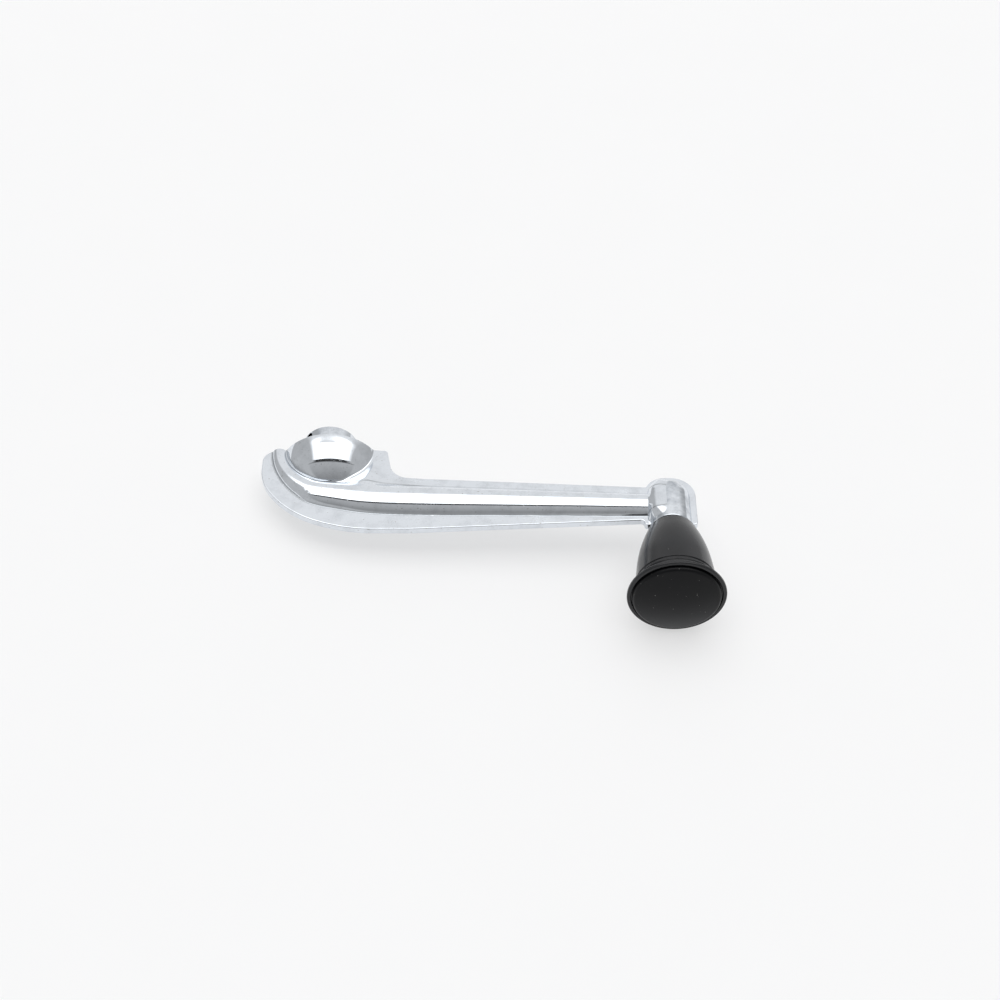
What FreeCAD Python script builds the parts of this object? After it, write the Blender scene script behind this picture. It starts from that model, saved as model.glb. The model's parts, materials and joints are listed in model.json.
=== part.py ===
import FreeCAD, Part
import math
import os

import Sketcher

# Hand crank of a car door's window regulator: a chromed die-cast arm with a domed hub, and a plastic knob
# that spins on a shouldered bolt. The frame's origin is the mouth of the spindle socket, on the spindle's
# axis. +X runs along the arm to the knob, +Y out of the socket towards the door, and Z across the arm's thin
# web, whose middle plane is Z = 0. Both faces of the casting are alike. All sizes are millimetres.

SIZES = {
    "centre_distance": 96.0,  # spindle axis to knob axis
    # web: the thin plate round the whole casting
    "web_thick": 2.0,
    "web_edge_round": 0.7,
    "hub_rear": 3.2,  # depth of the hub's rear face below the socket mouth
    "heel_left": 19.05,
    "heel_corner_round": 4.0,
    "heel_low_x": 10.5,
    "heel_low_y": 28.0,
    "heel_side_y": 15.7,
    "heel_side_round": 16.0,
    "heel_low_round": 29.0,
    "heel_front_x": 6.1,
    "heel_front_round": 42.0,
    "arm_front_start_x": 24.0,
    "arm_front_start_y": 34.0,
    "arm_front_end_y": 30.5,
    "shoulder_x": 16.3,
    "shoulder_root_x": 18.3,
    "shoulder_round": 5.5,
    "arm_rear_start_y": 13.9,
    "arm_rear_end_y": 17.75,
    "knob_end_half": 7.4,
    "knob_end_rear": 14.0,
    "knob_end_front": 32.4,
    "knob_end_round": 7.0,
    "knob_end_slope": 4.45,  # where the rear round starts to fall towards the arm, left of the knob axis
    "knob_end_join": 6.4,
    "knob_end_fall_round": 6.0,
    "small_round": 1.0,
    "join_round": 0.6,
    # hub dome: the same shallow cap on both faces
    "dome_high": 7.9,
    "dome_sphere": 15.2,
    # gusset: the low step that fills the corner between dome, rib and shoulder
    "gusset_thick": 3.6,
    "gusset_edge": 0.7,
    "gusset_rear_x": 13.2,
    "gusset_corner_x": 15.2,
    "gusset_corner_y": 15.8,
    "gusset_corner_round": 7.0,
    "gusset_tail_x": 32.0,
    "gusset_tail_y": 19.0,
    # boss at the rear of the hub, with the spindle socket
    "boss_radius": 7.8,
    "boss_depth": 4.0,
    "boss_edge": 0.35,
    "socket_depth": 9.5,
    "sleeve_radius": 5.6,
    "pilot_radius": 4.8,
    "pilot_length": 3.2,
    "spline_tip": 4.35,
    "spline_root": 4.75,
    "spline_count": 24.0,
    "grub_place": 1.8,
    "grub_radius": 1.15,
    "grub_angle": 48.0,  # from +Z towards -X, seen along the spindle axis
    "grub_sunk": 0.6,
    "grub_slot_wide": 0.5,
    "grub_slot_deep": 0.6,
    # rib along the arm
    "rib_start_x": 27.4,
    "rib_start_y": 23.2,
    "rib_start_half": 5.9,
    "rib_start_high": 4.15,
    "rib_end_x": 90.5,
    "rib_end_y": 24.8,
    "rib_end_half": 4.6,
    "rib_end_high": 3.4,
    # boss that carries the knob
    "knob_boss_radius": 5.8,
    "knob_boss_rear": 22.2,
    "knob_boss_front": 33.2,
    # pivot bolt
    "thread_radius": 2.5,
    "thread_depth": 8.7,
    "pivot_radius": 3.0,
    "running_gap": 0.05,
    "bolt_head_radius": 5.4,
    "bolt_head_thick": 2.2,
    "bolt_slot_wide": 1.2,
    "bolt_slot_deep": 1.1,
    "bolt_head_edge": 0.5,
    "washer_thick": 0.5,
    "washer_radius": 5.2,
    "end_gap": 0.1,
    "wave_thick": 0.4,
    "wave_radius": 4.6,
    # knob, measured from its neck towards the user
    "neck_radius": 6.4,
    "neck_round": 1.0,
    "waist_place": 8.5,
    "waist_radius": 9.7,
    "waist_round": 45.0,
    "bead_place": 19.3,
    "bead_end": 20.6,
    "bead_radius": 11.0,
    "bead_step": 0.3,
    "flare_place": 23.3,
    "flare_round": 1.9,
    "knob_length": 24.4,
    "rim_radius": 13.45,
    "rim_round": 0.4,
    "cap_pocket_radius": 12.3,
    "cap_seat": 23.8,
    "cavity_radius": 8.0,
    "cavity_floor": 17.2,
    "bush_radius": 4.3,
    "cap_radius": 12.0,
    "cap_proud": 1.0,
    "cap_crown": 1.4,
    "cap_crown_round": 44.0,
    "cap_edge_round": 0.8,
    "cap_plug_radius": 7.9,
    "cap_plug_deep": 1.0,
}

# The rib curls round the dome's left side and thins out, like a comma's tail. Each station is the angle round
# the hub from straight ahead, the middle's distance from the hub centre, half the width and half the thickness.
TAIL_STATIONS = (
    (90.0, 14.4, 2.3, 2.1),
    (74.0, 14.45, 2.5, 2.3),
    (58.0, 14.65, 2.8, 2.6),
    (42.0, 15.1, 3.3, 3.0),
    (26.0, 15.9, 3.9, 3.4),
    (10.0, 17.0, 4.7, 3.8),
)
# Two more stations bring the rib out of the hub: distance along the arm, then the same sizes as above.
NECK_STATIONS = (
    (4.0, 21.3, 5.4, 4.0),
    (12.0, 22.5, 5.8, 4.15),
)

doc = FreeCAD.newDocument("window_crank")
sheet = doc.addObject("Spreadsheet::Sheet", "sizes")
for row, (alias, size) in enumerate(SIZES.items(), start=1):
    sheet.set(f"A{row}", alias)
    sheet.set(f"B{row}", str(size))
    sheet.setAlias(f"B{row}", alias)
for station, values in enumerate(TAIL_STATIONS + NECK_STATIONS, start=1):
    for column, name, value in zip("CDEF", ("place", "middle", "half", "high"), values):
        sheet.set(f"{column}{station}", str(value))
        sheet.setAlias(f"{column}{station}", f"tail_{name}_{station}")
doc.recompute()


def value(expression):
    """The number that an expression over the sheet gives."""
    return float(sheet.evalExpression(expression))


def bind(item, **expressions):
    """Binds properties to expressions; a double underscore in a name stands for a dot."""
    for name, expression in expressions.items():
        item.setExpression(name.replace("__", "."), expression)


def pin(sketch, geometry, vertex, across, along):
    """Holds a sketch vertex at the two expressions."""
    for kind, expression in (("DistanceX", across), ("DistanceY", along)):
        index = sketch.addConstraint(Sketcher.Constraint(kind, -1, 1, geometry, vertex, value(expression)))
        sketch.setExpression(f"Constraints[{index}]", expression)


def straight_outline(sketch, corners):
    """A closed outline of straight sides; a corner is (x, y) or (x, y, round), all expressions."""
    places = [FreeCAD.Vector(value(corner[0]), value(corner[1]), 0) for corner in corners]
    starts, ends, arcs = [], [], []
    for i, corner in enumerate(corners):
        place = places[i]
        if len(corner) == 2:
            starts.append(place)
            ends.append(place)
            arcs.append(None)
            continue
        radius = value(corner[2])
        back = (places[i - 1] - place).normalize()
        ahead = (places[(i + 1) % len(places)] - place).normalize()
        half = back.getAngle(ahead) / 2
        reach = radius / math.tan(half)
        centre = place + (back + ahead).normalize() * (radius / math.sin(half))
        ends.append(place + back * reach)
        starts.append(place + ahead * reach)
        arcs.append((centre, radius, back.cross(ahead).z < 0))
    lines = []
    for i in range(len(corners)):
        following = (i + 1) % len(corners)
        lines.append(sketch.addGeometry(Part.LineSegment(starts[i], ends[following])))
    for i, corner in enumerate(corners):
        before, after = lines[i - 1], lines[i]
        if arcs[i] is None:
            sketch.addConstraint(Sketcher.Constraint("Coincident", before, 2, after, 1))
            pin(sketch, after, 1, corner[0], corner[1])
            continue
        centre, radius, turns_left = arcs[i]
        first, last = (ends[i], starts[i]) if turns_left else (starts[i], ends[i])
        angles = [math.atan2(point.y - centre.y, point.x - centre.x) for point in (first, last)]
        if angles[1] < angles[0]:
            angles[1] += 2 * math.pi
        circle = Part.Circle(centre, FreeCAD.Vector(0, 0, 1), radius)
        arc = sketch.addGeometry(Part.ArcOfCircle(circle, angles[0], angles[1]))
        point = sketch.addGeometry(Part.Point(places[i]), True)
        pin(sketch, point, 1, corner[0], corner[1])
        sketch.addConstraint(Sketcher.Constraint("PointOnObject", point, 1, before))
        sketch.addConstraint(Sketcher.Constraint("PointOnObject", point, 1, after))
        in_vertex, out_vertex = (1, 2) if turns_left else (2, 1)
        sketch.addConstraint(Sketcher.Constraint("Tangent", before, 2, arc, in_vertex))
        sketch.addConstraint(Sketcher.Constraint("Tangent", arc, out_vertex, after, 1))
        index = sketch.addConstraint(Sketcher.Constraint("Radius", arc, radius))
        sketch.setExpression(f"Constraints[{index}]", corner[2])


def body_sketch(body, plane, name):
    """A sketch on one of the body's own origin planes."""
    sketch = body.newObject("Sketcher::SketchObject", name)
    origin_plane = next(item for item in body.Origin.OriginFeatures if item.Role == plane)
    sketch.AttachmentSupport = [(origin_plane, "")]
    sketch.MapMode = "FlatFace"
    return sketch


def turned_body(label, corners, axis_x):
    """A body turned about an axis along Y; the outline holds (distance from the axis, Y)."""
    body = doc.addObject("PartDesign::Body", label)
    sketch = body_sketch(body, "XY_Plane", label + "_outline")
    straight_outline(sketch, corners)
    turned = body.newObject("PartDesign::Revolution", label + "_turned")
    turned.Profile = sketch
    turned.ReferenceAxis = (sketch, ["V_Axis"])
    turned.Angle = 360.0
    doc.recompute()
    bind(body, Placement__Base__x=axis_x)
    return body


def slab(label, **expressions):
    """A box whose corner and sides are expressions."""
    box = doc.addObject("Part::Box", label)
    bind(box, **expressions)
    return box


def y_cylinder(label, radius, length, front, axis_x="0"):
    """A cylinder along Y that ends at the depth called front."""
    cylinder = doc.addObject("Part::Cylinder", label)
    cylinder.Placement.Rotation = FreeCAD.Rotation(FreeCAD.Vector(1, 0, 0), -90)
    bind(cylinder, Radius=radius, Height=length, Placement__Base__y=f"-({front})", Placement__Base__x=axis_x)
    return cylinder


def joined(label, pieces):
    """Several solids fused into one."""
    fusion = doc.addObject("Part::MultiFuse", label)
    fusion.Shapes = pieces
    return fusion


def cut(label, base, tool):
    """The base with the tool taken away."""
    result = doc.addObject("Part::Cut", label)
    result.Base = base
    result.Tool = tool
    return result


def web():
    """The plate that runs round the hub, along the arm and round the knob end, with softened edges."""
    right = "sizes.centre_distance + sizes.knob_end_half"
    left = "sizes.centre_distance - sizes.knob_end_half"
    corners = (
        ("sizes.shoulder_x", "-sizes.hub_rear", "sizes.small_round"),
        ("-sizes.heel_left", "-sizes.hub_rear", "sizes.heel_corner_round"),
        ("-sizes.heel_left", "-sizes.heel_side_y", "sizes.heel_side_round"),
        ("-sizes.heel_low_x", "-sizes.heel_low_y", "sizes.heel_low_round"),
        ("sizes.heel_front_x", "-sizes.arm_front_start_y", "sizes.heel_front_round"),
        ("sizes.arm_front_start_x", "-sizes.arm_front_start_y"),
        (left, "-sizes.arm_front_end_y", "sizes.small_round"),
        (left, "-sizes.knob_end_front"),
        (right, "-sizes.knob_end_front"),
        (right, "-sizes.knob_end_rear", "sizes.knob_end_round"),
        ("sizes.centre_distance - sizes.knob_end_slope", "-sizes.knob_end_rear", "sizes.knob_end_fall_round"),
        ("sizes.centre_distance - sizes.knob_end_join", "-sizes.arm_rear_end_y", "sizes.join_round"),
        ("sizes.shoulder_root_x", "-sizes.arm_rear_start_y", "sizes.shoulder_round"),
    )
    body = doc.addObject("PartDesign::Body", "web")
    sketch = body_sketch(body, "XY_Plane", "web_outline")
    straight_outline(sketch, corners)
    plate = body.newObject("PartDesign::Pad", "web_plate")
    plate.Profile = sketch
    plate.SideType = "Symmetric"
    bind(plate, Length="sizes.web_thick")
    doc.recompute()
    rounds = body.newObject("PartDesign::Fillet", "web_edges")
    faces = [f"Face{i}" for i, face in enumerate(plate.Shape.Faces, start=1)
             if abs(face.normalAt(0, 0).z) > 0.9]
    rounds.Base = (plate, faces)
    bind(rounds, Radius="sizes.web_edge_round")
    doc.recompute()
    return body


def gusset():
    """The low step between dome, rib and shoulder, set in from the web's edge and bevelled all round."""
    body = doc.addObject("PartDesign::Body", "gusset")
    sketch = body_sketch(body, "XY_Plane", "gusset_outline")
    straight_outline(sketch, (
        ("0", "-sizes.hub_rear"),
        ("0", "-sizes.rib_start_y"),
        ("sizes.gusset_tail_x", "-sizes.rib_start_y"),
        ("sizes.gusset_tail_x", "-sizes.gusset_tail_y"),
        ("sizes.gusset_corner_x", "-sizes.gusset_corner_y", "sizes.gusset_corner_round"),
        ("sizes.gusset_rear_x", "-sizes.hub_rear"),
    ))
    step = body.newObject("PartDesign::Pad", "gusset_step")
    step.Profile = sketch
    step.SideType = "Symmetric"
    bind(step, Length="sizes.gusset_thick")
    doc.recompute()
    bevel = body.newObject("PartDesign::Chamfer", "gusset_bevel")
    faces = [f"Face{i}" for i, face in enumerate(step.Shape.Faces, start=1) if abs(face.normalAt(0, 0).z) > 0.9]
    bevel.Base = (step, faces)
    bind(bevel, Size="sizes.gusset_edge")
    doc.recompute()
    return body


def dome():
    """The hub's shallow cap on both faces, square across at the hub's rear face."""
    caps = []
    for name, side in (("upper", "-"), ("lower", "")):
        cap = doc.addObject("Part::Sphere", name + "_dome_ball")
        bind(cap, Radius="sizes.dome_sphere", Placement__Base__y="-sizes.hub_rear",
             Placement__Base__z=f"{side}(sizes.dome_sphere - sizes.dome_high)")
        caps.append(cap)
    lens = doc.addObject("Part::Common", "dome_lens")
    lens.Base, lens.Tool = caps
    front = slab("dome_front", Length="4 * sizes.dome_sphere", Width="2 * sizes.dome_sphere",
                 Height="4 * sizes.dome_sphere", Placement__Base__x="-2 * sizes.dome_sphere",
                 Placement__Base__y="-sizes.hub_rear - 2 * sizes.dome_sphere",
                 Placement__Base__z="-2 * sizes.dome_sphere")
    half = doc.addObject("Part::Common", "dome")
    half.Base, half.Tool = lens, front
    return half


def lens_section(name, half, high, base_x, base_y, turn):
    """A section of the rib: two shallow arcs that meet at the web's middle plane, turned about Z."""
    sketch = doc.addObject("Sketcher::SketchObject", name)
    across, up = value(half), value(high)
    radius_rule = f"(({half}) ^ 2 + ({high}) ^ 2) / (2 * ({high}))"
    radius = value(radius_rule)
    swing = math.asin(across / radius)
    left, right = -across, across
    arcs = []
    for side, middle in ((1, math.pi / 2), (-1, 3 * math.pi / 2)):
        centre = FreeCAD.Vector(0, side * (up - radius), 0)
        circle = Part.Circle(centre, FreeCAD.Vector(0, 0, 1), radius)
        arcs.append(sketch.addGeometry(Part.ArcOfCircle(circle, middle - swing, middle + swing)))
        index = sketch.addConstraint(Sketcher.Constraint("Radius", arcs[-1], radius))
        sketch.setExpression(f"Constraints[{index}]", radius_rule)
    sketch.addConstraint(Sketcher.Constraint("Coincident", arcs[0], 1, arcs[1], 2))
    sketch.addConstraint(Sketcher.Constraint("Coincident", arcs[0], 2, arcs[1], 1))
    for vertex, place in ((1, right), (2, left)):
        sketch.addConstraint(Sketcher.Constraint("PointOnObject", arcs[0], vertex, -1))
        index = sketch.addConstraint(Sketcher.Constraint("DistanceX", -1, 1, arcs[0], vertex, place))
        sketch.setExpression(f"Constraints[{index}]", half if place > 0 else f"-({half})")
    upright = FreeCAD.Rotation(FreeCAD.Vector(1, 0, 0), 90)
    sketch.Placement.Rotation = FreeCAD.Rotation(FreeCAD.Vector(0, 0, 1), value(turn)).multiply(upright)
    bind(sketch, Placement__Base__x=base_x, Placement__Base__y=base_y)
    return sketch


def rib():
    """The rounded rib on both faces: straight and tapered along the arm, then curling round the dome."""
    start = lens_section("rib_start", "sizes.rib_start_half", "sizes.rib_start_high",
                         "sizes.rib_start_x", "-sizes.rib_start_y", "90")
    end = lens_section("rib_end", "sizes.rib_end_half", "sizes.rib_end_high",
                       "sizes.rib_end_x", "-sizes.rib_end_y", "90")
    stations = []
    for i in range(1, len(TAIL_STATIONS) + 1):
        angle, middle = f"sizes.tail_place_{i} * 1 deg", f"sizes.tail_middle_{i}"
        stations.append(lens_section(f"tail_{i}", f"sizes.tail_half_{i}", f"sizes.tail_high_{i}",
                                     f"-{middle} * sin({angle})", f"-sizes.hub_rear - {middle} * cos({angle})",
                                     f"90 - sizes.tail_place_{i}"))
    for i in range(len(TAIL_STATIONS) + 1, len(TAIL_STATIONS + NECK_STATIONS) + 1):
        stations.append(lens_section(f"tail_{i}", f"sizes.tail_half_{i}", f"sizes.tail_high_{i}",
                                     f"sizes.tail_place_{i}", f"-sizes.tail_middle_{i}", "83"))
    lofts = []
    for name, sections in (("arm_rib", [start, end]), ("tail_rib", stations + [start])):
        loft = doc.addObject("Part::Loft", name)
        loft.Sections = sections
        loft.Solid = True
        loft.Ruled = True
        lofts.append(loft)
    return lofts


def grub_hole(label, radius, start, length):
    """A cylinder along the grub screw's line, square to the spindle axis."""
    cylinder = doc.addObject("Part::Cylinder", label)
    cylinder.Placement.Rotation = FreeCAD.Rotation(FreeCAD.Vector(0, 1, 0), -value("sizes.grub_angle"))
    bind(cylinder, Radius=radius, Height=length, Placement__Base__y="-sizes.grub_place",
         Placement__Base__x=f"-({start}) * sin(sizes.grub_angle * 1 deg)",
         Placement__Base__z=f"({start}) * cos(sizes.grub_angle * 1 deg)")
    return cylinder


def crank_arm():
    """The casting: web, domes, ribs, spindle boss and knob boss, less the bores."""
    boss = turned_body("spindle_boss", (
        ("0", "0"),
        ("sizes.boss_radius - sizes.boss_edge", "0"),
        ("sizes.boss_radius", "-sizes.boss_edge"),
        ("sizes.boss_radius", "-sizes.boss_depth"),
        ("0", "-sizes.boss_depth"),
    ), "0")
    knob_boss = y_cylinder("knob_boss_bar", "sizes.knob_boss_radius",
                           "sizes.knob_boss_front - sizes.knob_boss_rear", "sizes.knob_boss_front",
                           "sizes.centre_distance")
    nose = doc.addObject("Part::Sphere", "knob_boss_nose")
    bind(nose, Radius="sizes.knob_boss_radius", Placement__Base__x="sizes.centre_distance",
         Placement__Base__y="-sizes.knob_boss_rear")
    solid = joined("casting", [web(), gusset(), dome(), boss, knob_boss, nose] + rib())
    bores = joined("casting_bores", [
        y_cylinder("sleeve_bore", "sizes.sleeve_radius", "sizes.socket_depth", "sizes.socket_depth"),
        grub_hole("grub_bore", "sizes.grub_radius", "sizes.pilot_radius", "sizes.boss_radius"),
        y_cylinder("bolt_bore", "sizes.thread_radius", "sizes.thread_depth + 0.5", "sizes.knob_boss_front",
                   "sizes.centre_distance"),
    ])
    return cut("crank_arm", solid, bores)


def spindle_sleeve():
    """The serrated steel sleeve, with a plain round pilot at its mouth, pierced for the grub screw."""
    corners = (
        ("sizes.sleeve_radius", "0"),
        ("sizes.pilot_radius", "0"),
        ("sizes.pilot_radius", "-sizes.pilot_length"),
        ("sizes.spline_tip", "-sizes.pilot_length"),
        ("sizes.spline_tip", "-sizes.socket_depth"),
        ("sizes.sleeve_radius", "-sizes.socket_depth"),
    )
    body = turned_body("sleeve_blank", corners, "0")
    sketch = body_sketch(body, "XZ_Plane", "groove_outline")
    half = "(pi * sizes.spline_tip / sizes.spline_count)"
    straight_outline(sketch, (
        ("sizes.spline_tip - 0.3", f"-{half}"),
        ("sizes.spline_root", "0"),
        ("sizes.spline_tip - 0.3", half),
    ))
    groove = body.newObject("PartDesign::Pocket", "spline_groove")
    groove.Profile = sketch
    groove.Type = "ThroughAll"
    groove.Midplane = True
    doc.recompute()
    grooves = body.newObject("PartDesign::PolarPattern", "spline_grooves")
    grooves.Originals = [groove]
    axis = next(item for item in body.Origin.OriginFeatures if item.Role == "Y_Axis")
    grooves.Axis = (axis, [""])
    grooves.Angle = 360.0
    bind(grooves, Occurrences="sizes.spline_count")
    body.Tip = grooves
    doc.recompute()
    hole = grub_hole("sleeve_hole", "sizes.grub_radius", "sizes.spline_tip - 1", "sizes.sleeve_radius")
    return cut("spindle_sleeve", body, hole)


def grub_screw():
    """The slotted screw that locks the crank on its spindle; its point stops at the pilot's wall."""
    start = "sizes.pilot_radius"
    length = "sizes.boss_radius - sizes.grub_sunk - sizes.pilot_radius"
    shank = grub_hole("grub_shank", "sizes.grub_radius", start, length)
    slot = slab("grub_slot", Length="4 * sizes.grub_radius", Width="sizes.grub_slot_wide",
                Height="2 * sizes.grub_slot_deep")
    outer = f"({start}) + {length} - sizes.grub_slot_deep"
    turn = value("sizes.grub_angle")
    slot.Placement.Rotation = FreeCAD.Rotation(FreeCAD.Vector(0, 1, 0), -turn)
    sine, cosine = "sin(sizes.grub_angle * 1 deg)", "cos(sizes.grub_angle * 1 deg)"
    bind(slot, Placement__Base__x=f"-({outer}) * {sine} - 2 * sizes.grub_radius * {cosine}",
         Placement__Base__y="-sizes.grub_place - sizes.grub_slot_wide / 2",
         Placement__Base__z=f"({outer}) * {cosine} - 2 * sizes.grub_radius * {sine}")
    return cut("grub_screw", shank, slot)


# Depths along the knob's axis, as expressions: the knob starts past the washer and its end gap.
NECK = "(sizes.knob_boss_front + sizes.washer_thick + sizes.end_gap)"
BUSH_END = f"({NECK} + sizes.cavity_floor + sizes.end_gap)"
WAVE = f"({BUSH_END} + sizes.end_gap)"
HEAD = f"({WAVE} + sizes.wave_thick)"
HEAD_END = f"({HEAD} + sizes.bolt_head_thick)"


def pivot_bolt():
    """The shouldered bolt that the knob spins on, screwed into the knob boss, with a slotted head."""
    root = "sizes.knob_boss_front"
    blank = turned_body("bolt_blank", (
        ("0", f"-({root} - sizes.thread_depth)"),
        ("0", f"-{HEAD_END}"),
        ("sizes.bolt_head_radius", f"-{HEAD_END}", "sizes.bolt_head_edge"),
        ("sizes.bolt_head_radius", f"-{HEAD}"),
        ("sizes.pivot_radius", f"-{HEAD}"),
        ("sizes.pivot_radius", f"-{root}"),
        ("sizes.thread_radius", f"-{root}"),
        ("sizes.thread_radius", f"-({root} - sizes.thread_depth)"),
    ), "sizes.centre_distance")
    slot = slab("bolt_slot", Length="4 * sizes.bolt_head_radius", Width="2 * sizes.bolt_slot_deep",
                Height="sizes.bolt_slot_wide",
                Placement__Base__x="sizes.centre_distance - 2 * sizes.bolt_head_radius",
                Placement__Base__y=f"-{HEAD_END} - sizes.bolt_slot_deep",
                Placement__Base__z="-sizes.bolt_slot_wide / 2")
    return cut("pivot_bolt", blank, slot)


def ring(label, inner, outer, rear, front):
    """A flat ring or tube on the knob's axis."""
    return turned_body(label, ((inner, f"-{rear}"), (inner, f"-{front}"), (outer, f"-{front}"),
                               (outer, f"-{rear}")), "sizes.centre_distance")


def knob_body():
    """The tapered knob with a bead, a flared rim, a pocket for the cap and a bore for the bush."""
    def at(depth):
        return f"-({NECK} + {depth})"

    bead_root = "sizes.bead_radius - sizes.bead_step"
    return turned_body("knob_body", (
        ("sizes.bush_radius", at("0")),
        ("sizes.neck_radius", at("0"), "sizes.neck_round"),
        ("sizes.waist_radius", at("sizes.waist_place"), "sizes.waist_round"),
        (bead_root, at("sizes.bead_place")),
        ("sizes.bead_radius", at("sizes.bead_place")),
        ("sizes.bead_radius", at("sizes.bead_end")),
        (bead_root, at("sizes.bead_end")),
        (bead_root, at("sizes.flare_place"), "sizes.flare_round"),
        ("sizes.rim_radius", at("sizes.flare_place"), "sizes.rim_round"),
        ("sizes.rim_radius", at("sizes.knob_length"), "sizes.rim_round"),
        ("sizes.cap_pocket_radius", at("sizes.knob_length")),
        ("sizes.cap_pocket_radius", at("sizes.cap_seat")),
        ("sizes.cavity_radius", at("sizes.cap_seat")),
        ("sizes.cavity_radius", at("sizes.cavity_floor")),
        ("sizes.bush_radius", at("sizes.cavity_floor")),
    ), "sizes.centre_distance")


def knob_cap():
    """The disc that closes the knob, with a plug that presses into the cavity and a crowned face."""
    seat = f"({NECK} + sizes.cap_seat)"
    face = f"({NECK} + sizes.knob_length + sizes.cap_proud)"
    return turned_body("knob_cap", (
        ("0", f"-({seat} - sizes.cap_plug_deep)"),
        ("0", f"-({face} + sizes.cap_crown)"),
        ("sizes.cap_radius / 2", f"-({face} + sizes.cap_crown)", "sizes.cap_crown_round"),
        ("sizes.cap_radius", f"-{face}", "sizes.cap_edge_round"),
        ("sizes.cap_radius", f"-{seat}"),
        ("sizes.cap_plug_radius", f"-{seat}"),
        ("sizes.cap_plug_radius", f"-({seat} - sizes.cap_plug_deep)"),
    ), "sizes.centre_distance")


washer_bore = "sizes.pivot_radius + sizes.running_gap"
subparts = [
    crank_arm(),
    spindle_sleeve(),
    grub_screw(),
    pivot_bolt(),
    ring("boss_washer", washer_bore, "sizes.washer_radius", "sizes.knob_boss_front",
         "(sizes.knob_boss_front + sizes.washer_thick)"),
    ring("wave_washer", washer_bore, "sizes.wave_radius", WAVE, HEAD),
    knob_body(),
    ring("knob_bush", washer_bore, "sizes.bush_radius", NECK, BUSH_END),
    knob_cap(),
]
doc.recompute()

failed = [item.Name for item in doc.Objects if "Invalid" in item.State or "Error" in item.State]
if failed:
    raise RuntimeError("objects that did not recompute: " + ", ".join(failed))
for subpart in subparts:
    shape = subpart.Shape
    if shape.isNull() or not shape.isValid() or len(shape.Solids) != 1:
        raise RuntimeError(f"{subpart.Label} is not one valid solid")

os.makedirs("parts", exist_ok=True)
for subpart in subparts:
    subpart.Shape.exportStep(f"parts/{subpart.Label}.step")
    box = subpart.Shape.BoundBox
    print(f"{subpart.Label}: volume {subpart.Shape.Volume:.1f}, X {box.XMin:.2f} to {box.XMax:.2f}, "
          f"Y {box.YMin:.2f} to {box.YMax:.2f}, Z {box.ZMin:.2f} to {box.ZMax:.2f}")
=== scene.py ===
import json
import math

import bpy
import numpy as np
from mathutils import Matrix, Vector
from mathutils.geometry import delaunay_2d_cdt


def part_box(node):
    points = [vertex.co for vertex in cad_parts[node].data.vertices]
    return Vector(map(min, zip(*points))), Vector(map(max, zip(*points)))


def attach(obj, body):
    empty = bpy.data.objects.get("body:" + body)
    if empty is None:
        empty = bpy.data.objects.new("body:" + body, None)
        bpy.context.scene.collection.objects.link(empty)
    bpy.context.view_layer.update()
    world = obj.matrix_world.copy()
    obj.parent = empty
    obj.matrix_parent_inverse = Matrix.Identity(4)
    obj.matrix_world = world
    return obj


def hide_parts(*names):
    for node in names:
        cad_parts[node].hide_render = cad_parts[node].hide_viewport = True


# A car window winder handle lying on its side on a white table: a worn chromed casting and a black plastic
# knob. The spindle's axis and the knob's axis run along Y and the arm along +X. Shapes are worked out in
# millimetres and placed in metres. A piece is turned about one of the two axes, or it is grown from the
# casting's outline and a height over the middle plane, the same on both faces.

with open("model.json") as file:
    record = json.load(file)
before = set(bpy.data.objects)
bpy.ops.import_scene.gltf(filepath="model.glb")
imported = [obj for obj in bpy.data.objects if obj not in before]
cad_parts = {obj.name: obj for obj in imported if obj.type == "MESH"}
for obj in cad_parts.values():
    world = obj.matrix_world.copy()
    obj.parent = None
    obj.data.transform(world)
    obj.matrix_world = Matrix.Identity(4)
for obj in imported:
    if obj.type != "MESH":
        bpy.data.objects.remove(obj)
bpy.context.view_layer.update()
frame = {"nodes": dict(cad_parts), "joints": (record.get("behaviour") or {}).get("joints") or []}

MM = 0.001


def node_box(node):
    """The CAD node's lowest and highest corners, in millimetres."""
    return [[place / MM for place in corner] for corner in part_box(node)]


# ---- driving sizes, in millimetres; the first ones are read from the CAD model
KNOB_X = next(joint for joint in frame["joints"] if joint["name"] == "knob_spin")["pos_m"][0] / MM
SLEEVE_LOW, SLEEVE_HIGH = node_box("spindle_sleeve")
KNOB_LOW, KNOB_HIGH = node_box("knob_body")
CAP_LOW, CAP_HIGH = node_box("knob_cap")
BUSH_RADIUS = node_box("knob_bush")[1][2]
KNOB_BOSS_FRONT = node_box("boss_washer")[1][1]
DOME_HIGH = node_box("crank_arm")[1][2]
# the hub's boss and the grub screw's hole in its wall
HUB_REAR = -3.2
BOSS_RADIUS = 7.8
GRUB_Y = -1.8
GRUB_RADIUS = 1.15
GRUB_TURN = math.radians(90 + 48)
# the web and its rounded edge, and the sphere that the dome is cut from
WEB_HALF = 1.0
WEB_EDGE = 0.3
DOME_SPHERE = 15.2
# the casting's left end, the boss that carries the knob, and the web round that boss
HEEL_X = 19.05
KNOB_BOSS_RADIUS = 5.8
KNOB_BOSS_REAR = -22.2
KNOB_END_HALF = 7.4
KNOB_END_FRONT = -32.4

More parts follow.
